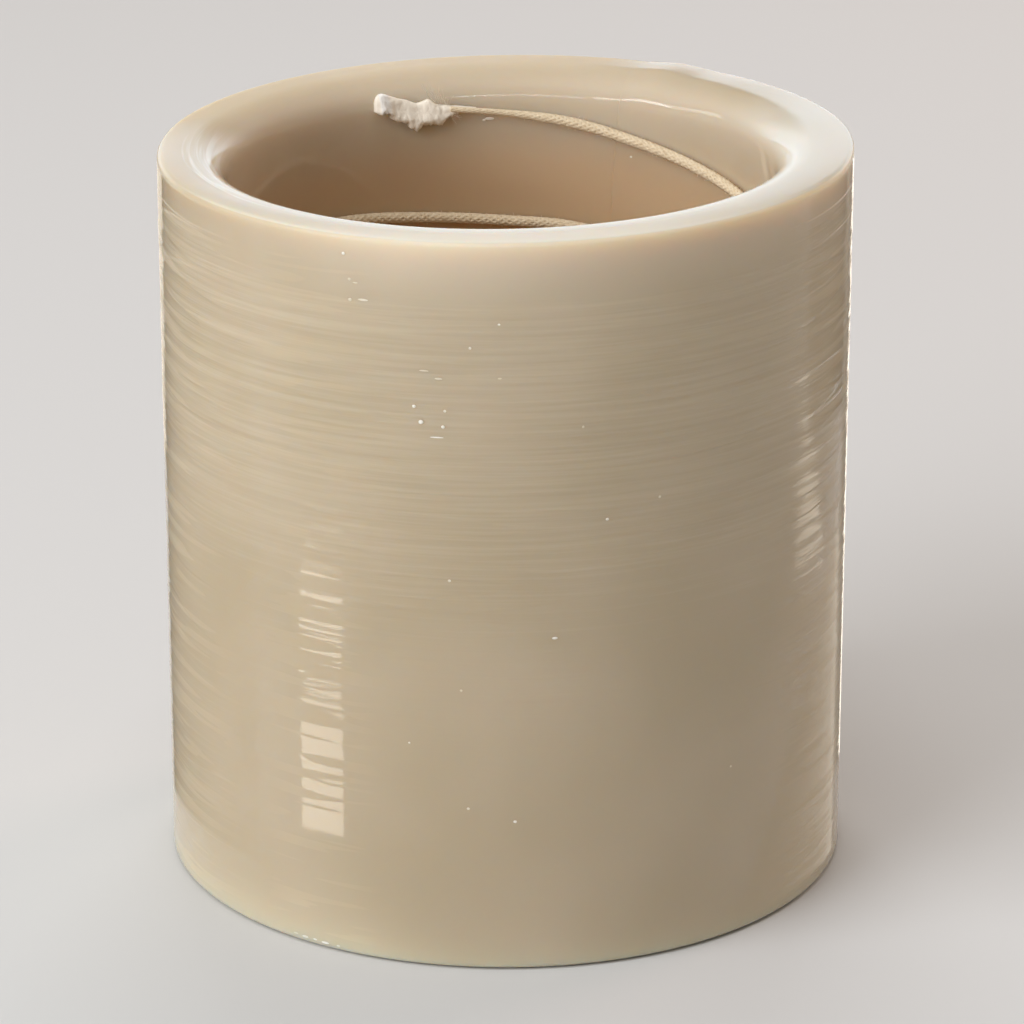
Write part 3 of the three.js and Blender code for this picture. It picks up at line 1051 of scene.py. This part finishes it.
def make_specks(material):
    """Small bubbles half sunk in the outer wall, most of them round and some drawn out along the rings."""
    outside = SPECKS_IN_FRONT + more_specks()
    to_axis = Vector((CAVITY_OFFSET, 0, 0))
    places = [polar(180 - row[0], OUTER_RADIUS, row[1] * MM) - to_axis for row in outside]
    places += [polar(180 - row[0], CAVITY_RADIUS, row[1] * MM) for row in CRUMBS_INSIDE]
    rows = outside + CRUMBS_INSIDE
    source = mesh_object("speck_places", places, values={
        "length": [row[2] * MM for row in rows],
        "width": [row[3] * MM for row in rows],
    })
    tree, add, size = new_tree("bubbles_in_the_wall", {"Stands Out": 0.3})
    length, width = (add("GeometryNodeInputNamedAttribute", name) for name in ("length", "width"))
    level = add(VECTOR_MULTIPLY, add("GeometryNodeInputPosition"), (1, 1, 0))
    turned = add("FunctionNodeAlignRotationToVector", {"Vector": level}, axis="X", pivot_axis="Z")
    thin = add(MULTIPLY, width, size["Stands Out"])
    spread = add(COMBINE, {"X": thin, "Y": length, "Z": width})
    bead = add("GeometryNodeMeshIcoSphere", {"Radius": 0.5, "Subdivisions": 2})
    beads = add(ON_POINTS, {
        "Points": size["Geometry"], "Instance": bead, "Rotation": turned, "Scale": spread,
    })
    end_tree(add, beads, material, smooth=True)
    return grown(source, "skin_bubbles", tree)


rubber = polyurethane()
cotton = waxed_cotton()
wax = frayed_wax()
air = trapped_air()

wick_braid, wick_fuzz, wick_path = make_wick(cotton)
casting = make_casting(rubber)
tuft = make_tuft(wax)
wisps = make_wisps(wax)
specks = make_specks(air)

# The table: half its width, and how far it lies below the mold
TABLE_HALF = 3.0
TABLE_GAP = 0.2 * MM

# The sky, and the glow behind the mold by the way a ray goes: how far back, and the sine of its elevation
SKY_BRIGHTNESS = 0.36
GLOW_BEHIND = (0.45, 0.9)
GLOW_LOW = (math.sin(math.radians(26)), math.sin(math.radians(14)))
GLOW_BRIGHTNESS = 1.3


def make_table():
    """A plain pale table."""
    half = TABLE_HALF
    corners = [(-half, -half, 0), (half, -half, 0), (half, half, 0), (-half, half, 0)]
    table = mesh_object("table_top", corners, faces=[(0, 1, 2, 3)])
    material, add = new_material("pale_table")
    surface(add, {"Base Color": linear("#D9DBDC"), "Roughness": 0.8, "Specular IOR Level": 0.0})
    table.data.materials.append(material)
    table.location.z = body_low.z - TABLE_GAP


def make_sky():
    """An even sky, with a broad cool glow low down behind the mold that only shiny surfaces show."""
    world = bpy.data.worlds.new("even_sky")
    bpy.context.scene.world = world
    world.use_nodes = True
    world.node_tree.nodes.clear()
    add = adder(world.node_tree)
    sky = add("ShaderNodeBackground", {"Color": linear("#EBE1D6"), "Strength": SKY_BRIGHTNESS})
    way = add("ShaderNodeSeparateXYZ", add("ShaderNodeTexCoord").outputs["Generated"])
    behind = add(SMOOTH, way.outputs["Y"], *GLOW_BEHIND)
    low = add(SMOOTH, way.outputs["Z"], *GLOW_LOW)
    glossy = add("ShaderNodeLightPath").outputs["Is Glossy Ray"]
    share = add(MULTIPLY, add(MULTIPLY, behind, low), glossy)
    strength = add(MULTIPLY, share, GLOW_BRIGHTNESS)
    glow = add("ShaderNodeBackground", {"Color": linear("#E4F3FF"), "Strength": strength})
    both = add("ShaderNodeAddShader", sky, glow)
    add("ShaderNodeOutputWorld", both)


# Sunlit and shaded patches of the table, by where on the wall the camera sees them mirrored: azimuths from
# the front in degrees along the lower and the upper side, heights in mm, brightness at left and right
PATCHES = [
    ((-35.2, -27.2), (-35.2, -27.2), (17.5, 36.5), (4.8, 4.8)),
    ((-34.4, -27.4), (-33.6, -27.4), (38.4, 39.9), (5.5, 5.5)),
    ((-35.2, -27.2), (-35.2, -27.2), (42.1, 50), (5.5, 5.5)),
    ((-34.6, -27.6), (-34.6, -27.6), (52, 54), (3, 3)),
    ((-34.6, -27.6), (-34.6, -27.6), (55.5, 57), (2, 2)),
    ((54.6, 65.4), (57.4, 58.6), (52.5, 69), (2, 2)),
    ((58, 75), (58, 75), (70, 103), (0.35, 0.1)),
    ((42, 75), (70, 75), (2, 52), (0.5, 0.9)),
    ((81.4, 85.7), (81, 85.7), (14, 103), (1.7, 1.7)),
    ((75.4, 81.4), (75, 81), (14, 103), (0.4, 0.2)),
    ((-85.7, -79.6), (-85.7, -76.5), (60, 103), (1.1, 0.9)),
    ((-79.6, -45), (-76.5, -45), (60, 103), (0.02, 0.4)),
    ((-79.6, -45), (-79.6, -45), (10, 60), (0.12, 0.5)),
]
PATCH_CELL = 4


def mirrored(azimuth, height):
    """The point of the table that the camera sees mirrored at an azimuth and a height of the wall."""
    turn = math.radians(azimuth)
    facing = Vector((math.sin(turn), -math.cos(turn), 0))
    point = facing * OUTER_RADIUS + Vector((0, 0, height))
    sight = point - Vector((0, -CAMERA_DISTANCE, CAMERA_HEIGHT))
    bounced = sight.reflect(facing)
    drop = point.z - body_low.z + TABLE_GAP / 2
    return point + bounced * (drop / -bounced.z)


def make_sunlit():
    """Bright and dark patches lying on the table, which only shiny surfaces show."""
    points = []
    faces = []
    levels = []
    for low_side, high_side, (low, high), (left, right) in PATCHES:
        rows = max(1, round((high - low) / PATCH_CELL))
        columns = max(1, round((low_side[1] - low_side[0]) / PATCH_CELL))
        for i in range(rows + 1):
            up = i / rows
            start, end = (part_way(a, b, up) for a, b in zip(low_side, high_side))
            for j in range(columns + 1):
                across = j / columns
                if i and j:
                    k = len(points)
                    faces.append((k - columns - 2, k - columns - 1, k, k - 1))
                points.append(mirrored(part_way(start, end, across), part_way(low, high, up) * MM))
                levels.append(part_way(left, right, across))
    patches = mesh_object("sunlit_patches", points, faces=faces, values={"bright": levels})
    material, add = new_material("sunlit_table")
    bright = add("ShaderNodeAttribute", attribute_name="bright").outputs["Fac"]
    shader = add("ShaderNodeEmission", {"Color": linear("#FFF4E4"), "Strength": bright})
    add("ShaderNodeOutputMaterial", shader)
    material.cycles.emission_sampling = "NONE"
    patches.data.materials.append(material)
    for kind in ("camera", "diffuse", "transmission", "volume_scatter", "shadow"):
        setattr(patches, f"visible_{kind}", False)


def lamp(name, azimuth, height, distance, size, brightness, colour="#FFFFFF", shines=True, shows=True):
    """A soft lamp aimed at the mold, at an azimuth in degrees from the front towards the right.

    Its brightness is its radiance. It lights things if it shines, and is mirrored in them if it shows."""
    data = bpy.data.lights.new(name, "AREA")
    data.shape = "RECTANGLE"
    data.size, data.size_y = size
    data.energy = math.pi * size[0] * size[1] * brightness
    data.color = linear(colour)[:3]
    light = placed(name, data)
    turn = math.radians(azimuth)
    light.location = (distance * math.sin(turn), -distance * math.cos(turn), height)
    target = Vector((0, 0, HEIGHT / 2))
    light.rotation_euler = (target - light.location).to_track_quat("-Z", "Y").to_euler()
    light.visible_camera = False
    light.visible_diffuse = shines
    light.visible_glossy = shows


make_table()
make_sky()
make_sunlit()
lamp("window", -52, 0.74, 1.1, (0.9, 0.9), 3.75, "#FBFCFF", shows=False)
lamp("overhead", -20, 1.4, 0.3, (0.5, 0.5), 4.4, shows=False)
lamp("window_strip", -59, 0.4, 1.0, (0.64, 0.09), 9)
lamp("front_strip", -4, 0.4, 1.0, (1.3, 0.06), 6, shines=False)
lamp("side_strip", -92, 0.4, 1.0, (0.6, 0.12), 2.5, shines=False)
lamp("top_back", 0, 1.0, -0.7, (0.5, 0.5), 4.0, shows=False)
lamp("far_right", 130, 0.5, 1.06, (0.4, 0.4), 5.2, "#FFD9C6", shows=False)

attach(casting, "mold")
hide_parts("mold_body")
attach(specks, "mold")
for part in (wick_braid, wick_fuzz, tuft, wisps):
    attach(part, "starter_wick")
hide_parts("wick")
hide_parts("wick_tuft")
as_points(wick_path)

scene = bpy.context.scene
scene.view_settings.view_transform = "Standard"
